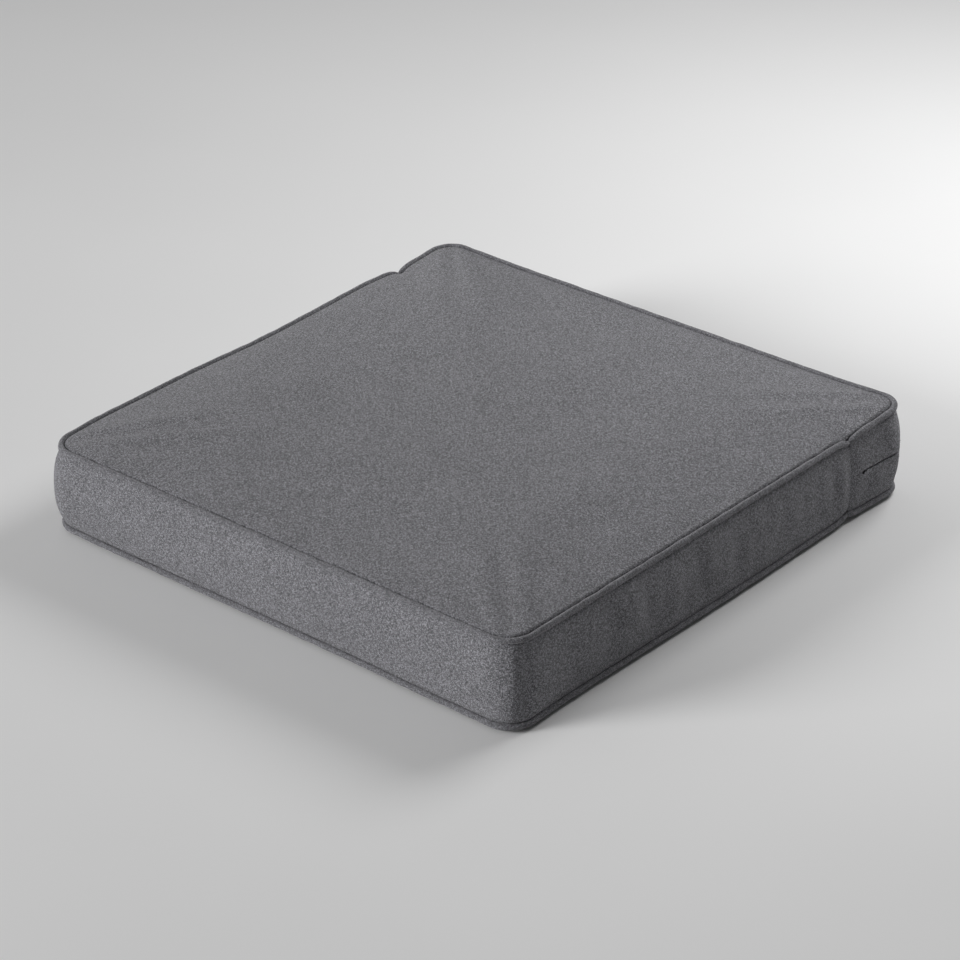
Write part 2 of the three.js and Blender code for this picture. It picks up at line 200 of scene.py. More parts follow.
def settled(points):
    """The points of an even cushion, moved as the real one has settled: its corners stand out or
    draw in, its edges sway, the back seam rides up, and the seams pinch where the zip band joins
    the boxing."""
    x, y, z = points[..., 0], points[..., 1], points[..., 2]
    moved = points.copy()
    rise = np.clip((z - LOWER_SEAM) / (UPPER_SEAM - LOWER_SEAM), 0, 1.1)
    high = smooth((z - MIDDLE) / (UPPER_SEAM - MIDDLE), 0.25, 1)
    at_zip = bump(z - MIDDLE, 14 * MM) * smooth(y, HALF - 30 * MM, HALF - 15 * MM)
    loose = 1 - at_zip * (1 - smooth(abs(x), SLIDER_REACH, SLIDER_REACH + SLIDER_EASE))
    for side_x, side_y, (foot, middle, top), lift in CORNERS:
        away = np.hypot(x - side_x * HALF, y - side_y * HALF)
        stands = foot * (2 * rise - 1) * (rise - 1) + middle * 4 * rise * (1 - rise)
        stands = (stands + top * rise * (2 * rise - 1)) * math.sqrt(0.5)
        stands = stands * bump(away, CORNER_REACH) * loose
        moved[..., 0] += side_x * stands
        moved[..., 1] += side_y * stands
        moved[..., 2] += lift * bump(away, LIFT_REACH) * high
    low = smooth((MIDDLE - z) / (MIDDLE - LOWER_SEAM), 0.25, 1)
    for side, place, reach, top, foot in SWAYS:
        near = smooth(side * x, HALF - 80 * MM, HALF - 10 * MM) * bump(y - place, reach)
        moved[..., 0] += side * near * (top * high + foot * low)
    near = smooth(-y, HALF - 80 * MM, HALF - 10 * MM) * bump(x - FRONT_SWAY_AT, FRONT_SWAY_REACH)
    moved[..., 1] -= FRONT_SWAY * near * low
    moved[..., 2] += BACK_LIFT * high * smooth(y, HALF - 70 * MM, HALF - 5 * MM)
    top = smooth(z, UPPER_SEAM - 24 * MM, UPPER_SEAM - 2 * MM)
    foot = 1 - smooth(z, LOWER_SEAM + 2 * MM, LOWER_SEAM + 24 * MM)
    for side, join in JOINS:
        near = bump(side * x - HALF, 22 * MM) * notch(y - join, JOIN_WIDTH)
        moved[..., 2] += near * (JOIN_RISE * foot - JOIN_DIP * top)
        moved[..., 0] -= side * near * JOIN_DRAW
    return moved


# ---- The cover before it is filled ----


def panel_grid(rings, height):
    """A square grid of points over the cushion's plan, out to the seam, at a height that depends
    on how far in from its sides each one is."""
    across = np.arange(-rings, rings + 1) / rings
    u, v = np.meshgrid(across, across, indexing="ij")
    reach = np.maximum(abs(u), abs(v))
    half = HALF - PANEL_INSET
    edge, _ = plan(square_turn(u, v), half, CORNER_RADIUS - PANEL_INSET)
    in_u, in_v = 1 - abs(u), 1 - abs(v)
    inset = half * in_u * in_v / np.maximum(np.hypot(in_u, in_v), 1e-9)
    return joined(edge * reach[..., None], height(inset))


def top_height(inset):
    seam = UPPER_SEAM + PANEL_RISE
    return seam + CROWN_START * (CROWN - seam) * (1 - np.exp(-inset / SHOULDER))


def foot_height(inset):
    left = np.clip(1 - inset / FOOT_INSET, 0, 1)
    return CLOTH / 2 + (LOWER_SEAM - PANEL_RISE - CLOTH / 2) * left**3


def zip_straight(turn):
    """1 along the straight back, where the zip is, falling to 0 at its corners."""
    from_middle = abs(np.mod(np.asarray(turn) + 0.5, 1.0) - 0.5) * ROUND_LENGTH
    return 1 - smooth(from_middle, HALF - CORNER_RADIUS - 8 * MM, HALF + 14 * MM)


def rolled_up(turn):
    """1 along the left side and the back, where the piping has rolled up a little, else 0."""
    turn = np.mod(turn, 1.0)
    return 1 - smooth(abs(turn - 1 / 8), 0.24, 0.26) * smooth(abs(turn - 9 / 8), 0.24, 0.26)


BAND_HEIGHT = UPPER_SEAM - LOWER_SEAM - 2 * BAND_DROP


def band_grid(rows, columns):
    """Rows of points up the boxing. It stands out between its seams, except along the zip."""
    share, turn = np.meshgrid(
        np.arange(rows + 1) / rows, np.arange(columns) / columns, indexing="ij"
    )
    bulge = BULGE * (1 - abs(2 * share - 1) ** 4)
    zipped = (bulge + ZIP_SINK) * bump((share - 0.5) * BAND_HEIGHT, 15 * MM)
    edge, out = plan(turn, HALF - CLOTH / 2)
    points = joined(edge, LOWER_SEAM + BAND_DROP + share * BAND_HEIGHT)
    return points + out * (bulge - zipped * zip_straight(turn))[..., None]


# ---- Filling the cover ----


def seam_points(rings):
    """Where a panel grid's edge points are, in the order of the boxing's columns."""
    across = np.arange(-rings, rings + 1)
    u, v = np.meshgrid(across, across, indexing="ij")
    edge = np.flatnonzero(np.maximum(abs(u), abs(v)).ravel() == rings)
    columns = np.round(square_turn(u, v).ravel()[edge] * 8 * rings).astype(int) % (8 * rings)
    return edge[np.argsort(columns)]


def grid_faces(index, closed=False):
    if closed:
        index = np.concatenate([index, index[:, :1]], 1)
    corners = (index[:-1, :-1], index[:-1, 1:], index[1:, 1:], index[1:, :-1])
    return np.stack(corners, -1).reshape(-1, 4)


def numbered(grid, first=0):
    return first + np.arange(grid[..., 0].size).reshape(grid.shape[:2])


def filled(top, band):
    """The top panel and the boxing with the filling pressing on them and their seams held."""
    top_index = numbered(top)
    band_index = numbered(band, top_index.size)
    seam = np.stack([band_index[-1], top_index.ravel()[seam_points(RINGS)]])
    points = np.concatenate([top.reshape(-1, 3), band.reshape(-1, 3)])
    faces = [grid_faces(top_index)[:, ::-1], grid_faces(band_index, True), grid_faces(seam, True)]
    mesh = bpy.data.meshes.new("cover")
    mesh.from_pydata(points.tolist(), [], np.concatenate(faces).tolist())
    work = bpy.data.objects.new("cover", mesh)
    scene.collection.objects.link(work)

    zipped = zip_straight(np.arange(band.shape[1]) / band.shape[1]) > 0.02
    beside_zip = band_index[ROWS // 2 - 2 : ROWS // 2 + 3, zipped]
    held = np.concatenate([seam.ravel(), band_index[0], beside_zip.ravel()])
    work.vertex_groups.new(name="held").add(held.tolist(), 1.0, "REPLACE")

    cloth = work.modifiers.new("cloth", "CLOTH")
    settings = cloth.settings
    settings.quality = 4
    settings.mass = 0.3
    settings.tension_stiffness = settings.compression_stiffness = CLOTH_STIFFNESS
    settings.shear_stiffness = CLOTH_STIFFNESS / 3
    settings.bending_stiffness = 0.5
    settings.vertex_group_mass = "held"
    settings.use_pressure = True
    settings.uniform_pressure_force = FILLING_PRESSURE
    settings.effector_weights.gravity = 0
    cloth.collision_settings.use_collision = False
    for step in range(1, CLOTH_STEPS + 1):
        scene.frame_set(step)
    done = work.evaluated_get(bpy.context.evaluated_depsgraph_get())
    result = np.empty(points.size, np.float32)
    done.data.vertices.foreach_get("co", result)
    scene.frame_set(1)
    bpy.data.objects.remove(work)
    bpy.data.meshes.remove(mesh)

    moved = result.reshape(-1, 3) - points
    length = np.maximum(np.linalg.norm(moved, axis=1, keepdims=True), 1e-9)
    points = points + moved * CLOTH_REACH * np.tanh(length / CLOTH_REACH) / length
    return points[: top_index.size].reshape(top.shape), points[top_index.size :].reshape(band.shape)


def refined(grid, factor, closed=False):
    """The grid with each row's step split, on smooth curves through its points."""
    if closed:
        padded = np.concatenate([grid[-1:], grid, grid[:2]])
    else:
        padded = np.concatenate([2 * grid[:1] - grid[1:2], grid, 2 * grid[-1:] - grid[-2:-1]])
    a, b, c, d = padded[:-3], padded[1:-2], padded[2:-1], padded[3:]
    steps = []
    for share in np.arange(factor) / factor:
        curve = 2 * a - 5 * b + 4 * c - d + share * (3 * (b - c) + d - a)
        steps.append(b + share / 2 * (c - a + share * curve))
    fine = np.stack(steps, 1).reshape(-1, *grid.shape[1:])
    return fine if closed else np.concatenate([fine, grid[-1:]])


def refined_both(grid, row_factor, column_factor, closed=False):
    rows = refined(grid, row_factor)
    return refined(rows.swapaxes(0, 1), column_factor, closed).swapaxes(0, 1)


# ---- Wrinkles that the filling leaves ----

ROLL_WIDTH = 9 * MM
ROLL_DEPTH = 1.2 * MM  # where the piping has rolled up, the panel's edge lies this much in and down
FOLD_DEPTH = 1.3 * MM
CORNER_CREASE = 3.4 * MM  # beside the right front corner
CORNER_RIDGE = 1.2 * MM  # and on it
JOIN_RIDGE = 1.0 * MM  # in front of each join

def top_waves(points):
    """Soft hollows over the top, and short puckers that die away from the seam."""
    x, y = points[..., 0], points[..., 1]
    inset = HALF - PANEL_INSET - np.maximum(abs(x), abs(y))
    inner = smooth(inset, 4 * MM, 70 * MM)
    moved = points.copy()
    moved[..., 2] += 0.9 * MM * inner * waves(x, y, 200 * MM, 3)
    moved[..., 2] += 0.3 * MM * inner * waves(x, y, 75 * MM, 4)
    puckers = waves(np.arctan2(y, x) * HALF, 0 * x, 24 * MM, 5) * bump(inset - 11 * MM, 9 * MM)
    moved[..., 2] += 0.25 * MM * puckers
    size = (len(points) - 1) / 2
    u, v = np.meshgrid(*[np.arange(len(points)) / size - 1] * 2, indexing="ij")
    turn = square_turn(u, v)
    rolled = rolled_up(turn) * np.exp(-(1 - np.maximum(abs(u), abs(v))) * HALF / ROLL_WIDTH)
    return moved - (plan(turn)[1] * ROLL_DEPTH + UP * ROLL_DEPTH) * rolled[..., None]


def foot_waves(points):
    """The underside lifts off the floor a little in soft patches and near its seam."""
    x, y = points[..., 0], points[..., 1]
    inset = HALF - PANEL_INSET - np.maximum(abs(x), abs(y))
    patches = smooth(waves(x, y, 120 * MM, 8), 0.2, 2) * smooth(inset, 0, 60 * MM)
    puckers = smooth(waves(np.arctan2(y, x) * HALF, 0 * x, 26 * MM, 9), 0, 1.5)
    moved = points.copy()
    moved[..., 2] += 1.2 * MM * patches + 0.7 * MM * puckers * bump(inset - 16 * MM, 12 * MM)
    return moved


def boxing_waves(points):
    """Upright folds, most of all on the right side, a crease beside the right front corner, and a
    ridge in front of each join."""
    share, turn = np.meshgrid(
        np.linspace(0, 1, len(points)), np.arange(points.shape[1]) / points.shape[1], indexing="ij"
    )
    _, out = plan(turn)
    x, y = points[..., 0], points[..., 1]
    along = turn * ROUND_LENGTH
    height = share * BAND_HEIGHT
    on_right = smooth(x, HALF - 30 * MM, HALF - 8 * MM) * smooth(y, -280 * MM, -150 * MM)
    on_left = smooth(-x, HALF - 30 * MM, HALF - 8 * MM)
    sides = (0.12 + 0.88 * on_right + 0.4 * on_left) * (1 - 0.95 * zip_straight(turn))
    body = np.sin(math.pi * share) ** 0.6
    folds = waves(along, height * 0.14, 40 * MM, 11) + 0.5 * waves(along, height * 0.3, 20 * MM, 12)
    push = FOLD_DEPTH * folds * body * sides
    past_corner = along - 2.5 * SIDE_LENGTH
    crease = CORNER_RIDGE * bump(past_corner - 1 * MM, 6 * MM)
    crease = crease - CORNER_CREASE * bump(past_corner - 13 * MM, 7 * MM)
    push = push + crease * np.sin(math.pi * share) ** 0.4
    for side, join in JOINS:
        near = smooth(side * x, HALF - 30 * MM, HALF - 10 * MM)
        push = push + JOIN_RIDGE * near * bump(y - join + 12 * MM, 8 * MM) * body
        push = push * (1 - 0.7 * near * bump(y - join, 6 * MM))
    return points + out * push[..., None]


# ---- Materials ----


class Shader:
    """Short calls for building one node material."""

    def __init__(self, name, roughness=0.8, **settings):
        self.material = bpy.data.materials.new(name)
        self.material.use_nodes = True
        self.tree = self.material.node_tree
        self.surface = self.tree.nodes["Principled BSDF"]
        self.surface.inputs["Roughness"].default_value = roughness
        for socket, value in settings.items():
            self.surface.inputs[socket.replace("_", " ")].default_value = value

    def node(self, kind, inputs=(), **settings):
        node = self.tree.nodes.new("ShaderNode" + kind)
        for name, value in settings.items():
            setattr(node, name, value)
        for socket, value in dict(inputs).items():
            self.put(value, node.inputs[socket])
        return node

    def put(self, value, socket):
        if isinstance(value, bpy.types.NodeSocket):
            self.tree.links.new(value, socket)
        else:
            socket.default_value = value

    def sum(self, operation, *values):
        return self.node("Math", enumerate(values), operation=operation).outputs[0]

    def vector(self, x=0.0, y=0.0, z=0.0):
        return self.node("CombineXYZ", {"X": x, "Y": y, "Z": z}).outputs[0]

    def noise(self, place, size, detail=2.0, roughness=0.5):
        inputs = {"Vector": place, "Scale": 1 / size, "Detail": detail, "Roughness": roughness}
        return self.node("TexNoise", inputs).outputs["Fac"]

    def spread(self, value, low, high, to_low=0.0, to_high=1.0):
        inputs = {"Value": value, "From Min": low, "From Max": high}
        return self.node("MapRange", inputs | {"To Min": to_low, "To Max": to_high}).outputs[0]

    def ramp(self, value, *stops):
        """A colour from stops of (place, colour)."""
        node = self.node("ValToRGB", {"Fac": value})
        elements = node.color_ramp.elements
        while len(elements) < len(stops):
            elements.new(0.5)
        for element, (place, colour) in zip(elements, stops):
            element.position = place
            element.color = (*colour, 1)
        return node.outputs["Color"]

    def shaded(self, colour, value):
        """The colour times a value."""
        node = self.node("VectorMath", {0: colour}, operation="SCALE")
        self.put(value, node.inputs["Scale"])
        return node.outputs[0]

    def finish(self, colour, height, depth):
        """Sets the colour, and a bump that deep in metres."""
        self.put(colour, self.surface.inputs["Base Color"])
        inputs = {"Height": height, "Distance": depth, "Strength": 1.0}
        self.put(self.node("Bump", inputs).outputs[0], self.surface.inputs["Normal"])
        return self.material


def woven(name, pitch, fleck, tones, contrast, depth, **settings):
    """A plain weave whose threads change tone along their length, with painted shade between the threads
    and a painted highlight on their crowns. Its vertices say, in metres, where they are along the cloth
    and across it."""
    shader = Shader(name, **settings)
    place = shader.node("Attribute", attribute_name="cloth").outputs["Vector"]
    split = shader.node("SeparateXYZ", {0: place})
    threads, tints, rounds = [], [], []
    for axis in (0, 1):
        thread = shader.sum("DIVIDE", split.outputs[axis], pitch)
        number = shader.sum("FLOOR", thread)
        run = shader.sum("DIVIDE", split.outputs[1 - axis], fleck)
        tint = shader.vector(shader.sum("MULTIPLY", number, 3.7), run, 17.0 * axis)
        across = shader.sum("SUBTRACT", shader.sum("FRACT", thread), 0.5)
        threads.append(number)
        tints.append(shader.noise(tint, 1.0, 1.5, 0.6))
        rounds.append(shader.sum("COSINE", shader.sum("MULTIPLY", across, math.pi)))
    step = shader.sum("FRACT", shader.sum("MULTIPLY", shader.sum("ADD", *threads), 0.5))
    over = shader.sum("GREATER_THAN", step, 0.25)

    def chosen(values):
        inputs = {"Factor": over, "A": values[0], "B": values[1]}
        return shader.node("Mix", inputs).outputs["Result"]

    tone = shader.spread(chosen(tints), 0.5 - contrast, 0.5 + contrast)
    ridge = shader.sum("MULTIPLY", chosen(rounds), shader.spread(chosen(rounds[::-1]), 0, 1, 0.6))
    patches = shader.noise(place, 0.06, 3.0)
    colour = shader.ramp(tone, (0.0, tones[0]), (0.5, tones[1]), (1.0, tones[2]))
    # Painted shade and highlight: the colour falls to 0.72 between the threads and at their edges, and
    # rises to 1.12 on their crowns. The same ridge is also the bump's height.
    colour = shader.shaded(colour, shader.spread(ridge, 0, 1, 0.72, 1.12))
    colour = shader.shaded(colour, shader.spread(patches, 0.3, 0.7, 0.96, 1.04))
    return shader.finish(colour, ridge, depth)


def grey(value):
    """A neutral grey, a little on the blue side."""
    return (value * 0.985, value * 0.98, value * 1.055)


FINISH = dict(roughness=0.92, Specular_IOR_Level=0.25, Sheen_Weight=0.15, Sheen_Roughness=0.5)
COVER_TONES = (grey(0.07), grey(0.175), grey(0.42))
PIPING_TONES = (grey(0.065), grey(0.16), grey(0.38))
TAPE_TONES = (grey(0.018), grey(0.028), grey(0.045))
COVER = woven("cover_fabric", 0.75 * MM, 2.6 * MM, COVER_TONES, 0.13, 0.16 * MM, **FINISH)
PIPING = woven("piping_fabric", 0.7 * MM, 2.4 * MM, PIPING_TONES, 0.17, 0.14 * MM, **FINISH)
TAPE = woven("zip_tape", 0.5 * MM, 4 * MM, TAPE_TONES, 0.25, 0.1 * MM, roughness=0.85, Sheen_Weight=0.1)


def spun(name, colour, roughness, grain):
    """Loose fibres: fine streaks of light and shade."""
    shader = Shader(name, roughness, Sheen_Weight=0.2)
    place = shader.node("TexCoord").outputs["Object"]
    fine = shader.noise(place, grain, 4.0, 0.7)
    tone = shader.spread(fine, 0.3, 0.7, 0.8, 1.1)
    return shader.finish(shader.shaded(colour, tone), fine, grain / 4)


FOAM_CELL = 1.3 * MM


def foam_material():
    """Cream foam, with the open cells of its cut faces, their hollows darkened with painted shade."""
    shader = Shader("foam", 0.9, Specular_IOR_Level=0.2)
    place = shader.node("TexCoord").outputs["Object"]
    cells = shader.node("TexVoronoi", {"Vector": place, "Scale": 1 / FOAM_CELL}).outputs["Distance"]
    pit_relief_and_painted_shade = shader.spread(cells, 0.1, 0.6)
    # Painted shade: deep is a dark brown for the hollows of the cells. The colour lightens to the cream of
    # the cell walls and is lightest on their rims.
    deep, wall, skin = (0.5, 0.42, 0.24), (0.8, 0.71, 0.46), (0.86, 0.79, 0.55)
    colour = shader.ramp(pit_relief_and_painted_shade, (0.0, deep), (0.6, wall), (1.0, skin))
    patches = shader.spread(shader.noise(place, 30 * MM), 0.3, 0.7, 0.94, 1.04)
    return shader.finish(shader.shaded(colour, patches), pit_relief_and_painted_shade, 0.4 * MM)


def nylon_material():
    shader = Shader("zip_teeth", 0.38, Coat_Weight=0.15)
    place = shader.node("TexCoord").outputs["Object"]
    marks = shader.noise(place, 0.8 * MM, 3.0)
    colour = shader.ramp(marks, (0.3, (0.012, 0.012, 0.013)), (0.7, (0.026, 0.026, 0.029)))
    return shader.finish(colour, marks, 0.03 * MM)


def metal_material():
    """Dark lacquer on cast zinc, rubbed bright along its rounded edges."""
    shader = Shader("zip_metal", 0.36, Metallic=1.0)
    place = shader.node("TexCoord").outputs["Object"]
    marks = shader.noise(place, 2.2 * MM, 4.0, 0.65)
    edges = shader.node("Attribute", attribute_name="rounded").outputs["Fac"]
    worn = shader.sum("MULTIPLY", edges, shader.spread(marks, 0.3, 0.6))
    tone = shader.sum("ADD", worn, shader.sum("MULTIPLY", marks, 0.3))
    colour = shader.ramp(tone, (0.08, grey(0.1)), (0.22, grey(0.15)), (1.0, grey(0.45)))
    shader.put(shader.spread(marks, 0.3, 0.7, 0.3, 0.42), shader.surface.inputs["Roughness"])
    return shader.finish(colour, marks, 0.01 * MM)


THREAD = spun("thread", grey(0.15), 0.75, 0.3 * MM)
CORD = spun("piping_cord", (0.8, 0.79, 0.75), 0.85, 0.6 * MM)
FIBRE = spun("fibre", (0.88, 0.88, 0.87), 0.95, 2.5 * MM)
FOAM = foam_material()
NYLON = nylon_material()
METAL = metal_material()


# ---- Making pieces ----


def add_piece(name, points, faces, material, cloth=None):
    """A piece of the even cushion, moved to where it has settled."""
    points = settled(np.asarray(points, float).reshape(-1, 3))
    mesh = bpy.data.meshes.new(name)
    mesh.from_pydata(points.tolist(), [], [tuple(map(int, face)) for face in faces])
    if cloth is not None:
        layer = mesh.attributes.new("cloth", "FLOAT_VECTOR", "POINT")
        layer.data.foreach_set("vector", np.asarray(cloth, np.float32).ravel())
    work = bmesh.new()
    work.from_mesh(mesh)
    bmesh.ops.recalc_face_normals(work, faces=work.faces)
    work.to_mesh(mesh)
    work.free()
    mesh.shade_smooth()
    return place_piece(name, mesh, material)


def place_piece(name, mesh, material, body="cushion"):
    """A mesh as a piece with one material, riding on one body."""
    mesh.materials.clear()
    mesh.materials.append(material)
    piece = bpy.data.objects.new(name, mesh)
    scene.collection.objects.link(piece)
    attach(piece, body)
    return piece


def shell(name, grid, thickness, material, cloth):
    """A sheet with that thickness, half on each side of the grid."""
    normals = unit(np.cross(np.gradient(grid, axis=0), np.gradient(grid, axis=1)))
    index = numbered(grid)
    loop = np.concatenate([index[:-1, 0], index[-1, :-1], index[:0:-1, -1], index[0, :0:-1]])
    after = np.roll(loop, -1)
    rim = np.stack([loop, loop + index.size, after + index.size, after], -1)
    faces = grid_faces(index)
    faces = np.concatenate([faces, faces[:, ::-1] + index.size, rim])
    points = np.concatenate([grid + normals * thickness / 2, grid - normals * thickness / 2])
    return add_piece(name, points, faces, material, np.concatenate([cloth, cloth]))


def tube(name, grid, material, cloth=None, looped=False):
    """A closed profile swept along a path, with its ends capped or joined."""
    index = numbered(grid)
    if looped:
        faces = list(grid_faces(np.concatenate([index, index[:1]]), True))
    else:
        faces = [*grid_faces(index, True), index[0, ::-1], index[-1]]
    return add_piece(name, grid, faces, material, cloth)


def cloth_layout(along, up, number):
    """Where each vertex of a strip is on its cloth. Each strip has a number, so none repeats."""
    return np.stack(np.broadcast_arrays(along, up, float(number)), -1)


def run_up(rows, column=40):
    """The distance up a strip's rows."""
    steps = np.linalg.norm(np.diff(rows[:, column], axis=0), axis=-1)
    return np.concatenate([[0], np.cumsum(steps)])[:, None]


# ---- Panels ----

# Out and up, from where a layer leaves the seam: round the piping, then along the allowance.
PANEL_TUCK = ((-0.6 * MM, -1.25 * MM), (-2.0 * MM, -2.1 * MM), (-4.9 * MM, -2.9 * MM))
ROLLED_TUCK = ((0.55 * MM, -0.55 * MM), (-0.98 * MM, -1.0 * MM), (-3.7 * MM, -1.7 * MM))
BAND_TUCK = ((-1.7 * MM, 0.85 * MM), (-3.75 * MM, 1.25 * MM), (-6.85 * MM, 0.45 * MM))
# The same where the zip band lies behind the boxing in the seam.
LAP_TUCK = ((-0.2 * MM, 1.1 * MM), (-1.2 * MM, 2.05 * MM), (-4.3 * MM, 1.2 * MM))
FLANGE_TILT = math.radians(15)  # the allowances run inwards, this far down from level


def with_rings(grid, sign):
    """A panel grid with its edge turned into the seam."""
    rings, more = (len(grid) - 1) // 2, len(PANEL_TUCK)
    size = rings + more
    whole = np.zeros((2 * size + 1, 2 * size + 1, 3))
    whole[more:-more, more:-more] = grid
    edge = grid.reshape(-1, 3)[seam_points(rings)]
    edge = np.concatenate([edge, edge[:1]])
    marks = np.arange(len(edge)) / (len(edge) - 1)
    across = np.arange(-size, size + 1)
    u, v = np.meshgrid(across, across, indexing="ij")
    for ring in range(more):
        here = np.maximum(abs(u), abs(v)) == rings + ring + 1
        turn = square_turn(u[here], v[here])
        base = np.stack([np.interp(turn, marks, edge[:, axis]) for axis in range(3)], -1)
        rolled = rolled_up(turn)[:, None] * (sign > 0)
        away, up = (a + rolled * (b - a) for a, b in zip(PANEL_TUCK[ring], ROLLED_TUCK[ring]))
        whole[here] = base + plan(turn)[1] * away + UP * up * sign
    return whole


def panel(name, grid, sign, number):
    whole = with_rings(grid, sign)
    cloth = cloth_layout(whole[..., 0], whole[..., 1], number)
    return shell(name, whole, CLOTH, COVER, cloth)


# ---- Boxing ----


def band_at(grid, turns, shares):
    """Points of a closed band grid at those shares of the way round, and up, one row each."""
    columns = grid.shape[1]
    place = np.mod(turns, 1.0) * columns
    left = np.floor(place).astype(int) % columns
    part = (place - np.floor(place))[None, :, None]
    across = grid[:, left] * (1 - part) + grid[:, (left + 1) % columns] * part
    row = np.clip(np.broadcast_to(shares, (len(shares), len(turns))), 0, 1) * (len(grid) - 1)
    low = np.minimum(np.floor(row).astype(int), len(grid) - 2)
    up = (row - low)[..., None]
    column = np.arange(len(turns))[None]
    return across[low, column] * (1 - up) + across[low + 1, column] * up


def tucked(rows, out, sign, lapped=0.0):
    """The rows that turn the last one into the seam."""
    lapped = np.broadcast_to(lapped, out.shape[:1])[:, None]
    for (away, up), (lap_away, lap_up) in zip(BAND_TUCK, LAP_TUCK):
        plain = out * away + UP * up * sign
        behind = out * lap_away + UP * lap_up * sign
        yield (rows[-1] + plain * (1 - lapped) + behind * lapped)[None]


END_LEAF = (2 * MM, 5 * MM, 8 * MM)  # how far the boxing's folded ends run back under it


def folded_ends(rows, turns):
    """The rows with their two ends folded under."""
    _, out = plan(turns)
    radius = CLOTH / 2 + 0.05 * MM
    first, last = [], []
    for end, columns in ((0, first), (-1, last)):
        away = np.cross(UP, out[end]) * (-1 if end == 0 else 1)
        for angle in np.linspace(0, math.pi, 6)[1:]:
            inward = radius * (1 - math.cos(angle))
            columns.append(rows[:, end] - out[end] * inward + away * radius * math.sin(angle))
        under = columns[-1]
        for leaf in END_LEAF:
            columns.append(under - away * leaf)
    columns = [*first[::-1], *rows.swapaxes(0, 1), *last]
    return np.stack(columns, 1)


def boxing(grid):
    """The boxing from the left join round the front to the right join."""
    start, stop = turn_at(LEFT_JOIN, -1), turn_at(RIGHT_JOIN, 1)
    turns = np.linspace(start, stop, round(grid.shape[1] * (stop - start)))
    _, out = plan(turns)
    rows = band_at(grid, turns, np.linspace(0, 1, len(grid))[:, None])
    above = np.concatenate(list(tucked(rows, out, 1)))
    below = np.concatenate(list(tucked(rows[::-1], out, -1)))[::-1]
    rows = folded_ends(np.concatenate([below, rows, above]), turns)
    steps = np.linalg.norm(np.diff(rows[10], axis=0), axis=-1)
    along = np.concatenate([[0], np.cumsum(steps)])[None]
    cloth = cloth_layout(along, run_up(rows), 10)
    return shell("boxing", rows, CLOTH, COVER, cloth)


# ---- Zip band ----

ZIP_START = turn_at(RIGHT_JOIN - ZIP_LAP, 1)
ZIP_STOP = 1 + turn_at(LEFT_JOIN - ZIP_LAP, -1)
SLIT_START = 19 * MM  # the slit begins this far past each join
SLIT_RIGHT = turn_at(RIGHT_JOIN + SLIT_START, 1)
SLIT_LEFT = 1 + turn_at(LEFT_JOIN + SLIT_START, -1)
SEWN_GAP = 0.03 * MM
CORNER_GAP = 0.55 * MM  # from the middle to a lip, round the corners
STRAIGHT_GAP = 0.57 * MM  # added to that along the straight back
MOUTH_ABOVE = 0.8 * MM
MOUTH_BELOW = 3.2 * MM


def inside_slit(turns):
    """How far inside the nearer end of the slit, in metres."""
    return np.minimum(turns - SLIT_RIGHT, SLIT_LEFT - turns) * ROUND_LENGTH


def half_slit(turns, sign):
    """From the middle of the zip to a lip: sewn shut past the ends, with a small open mouth."""
    inside = inside_slit(turns)
    half_open = CORNER_GAP + STRAIGHT_GAP * zip_straight(turns)
    mouth = (MOUTH_ABOVE if sign > 0 else MOUTH_BELOW) * bump(inside - 2.5 * MM, 3 * MM)
    return SEWN_GAP + (half_open + mouth) * smooth(inside, -1.5 * MM, 1.5 * MM)


def lip_radius(turns):
    """The lips are full along the slit and pressed flat where it is sewn shut."""
    return LIP_RADIUS * (0.2 + 0.8 * smooth(inside_slit(turns), -3 * MM, 1 * MM))


def zip_rows(grid, turns, upper, rows, lift=0.0):
    """Rows over one strip of the zip band, from its lip to its seam, and how far it is lapped."""
    sign = 1 if upper else -1
    lip = (half_slit(turns, sign) + CLOTH / 2 + lip_radius(turns)) / BAND_HEIGHT
    rows = np.asarray(rows, float)[:, None]
    shares = 0.5 + sign * (lip + (0.5 - lip) * rows)
    face = band_at(grid, turns, shares)
    _, out = plan(turns)
    from_join = np.minimum(turns - ZIP_START, ZIP_STOP - turns) * ROUND_LENGTH - ZIP_LAP
    lapped = 1 - smooth(from_join, 0.5 * MM, 5 * MM)
    sink = (1 - zip_straight(turns)) * ZIP_SINK * (1 - smooth(rows, 0.75, 1.0))
    sink = sink * (1 - lapped) + LAP_SINK * lapped
    face = face + out * (lift - sink)[..., None]
    face = face - UP * (sign * 1.8 * MM * smooth(rows, 0.9, 1.0) * lapped)[..., None]
    return face, out, lapped


def zip_strip(name, grid, upper):
    """One strip of the zip band: out of the seam, over the face and back in at the slit."""
    sign = 1 if upper else -1
    turns = np.linspace(ZIP_START, ZIP_STOP, round(grid.shape[1] * 1.2 * (ZIP_STOP - ZIP_START)))
    face, out, lapped = zip_rows(grid, turns, upper, np.linspace(0, 1, 18))
    fold, radius = [], lip_radius(turns)[:, None]
    for angle in np.linspace(0, math.pi, 7)[1:]:
        inward = radius * (1 - math.cos(angle))
        fold.append(face[0] - out * inward - UP * sign * radius * math.sin(angle))
    leaf = [fold[-1] + UP * sign * LIP_LEAF * step / 4 for step in range(1, 5)]
    seam = np.concatenate(list(tucked(face, out, sign, lapped=lapped)))
    rows = np.concatenate([np.stack([*leaf[::-1], *fold[::-1]]), face, seam])
    cloth = cloth_layout(turns[None] * ROUND_LENGTH, run_up(rows), 20 if upper else 30)
    return shell(name, rows, CLOTH, COVER, cloth)


# ---- Piping ----

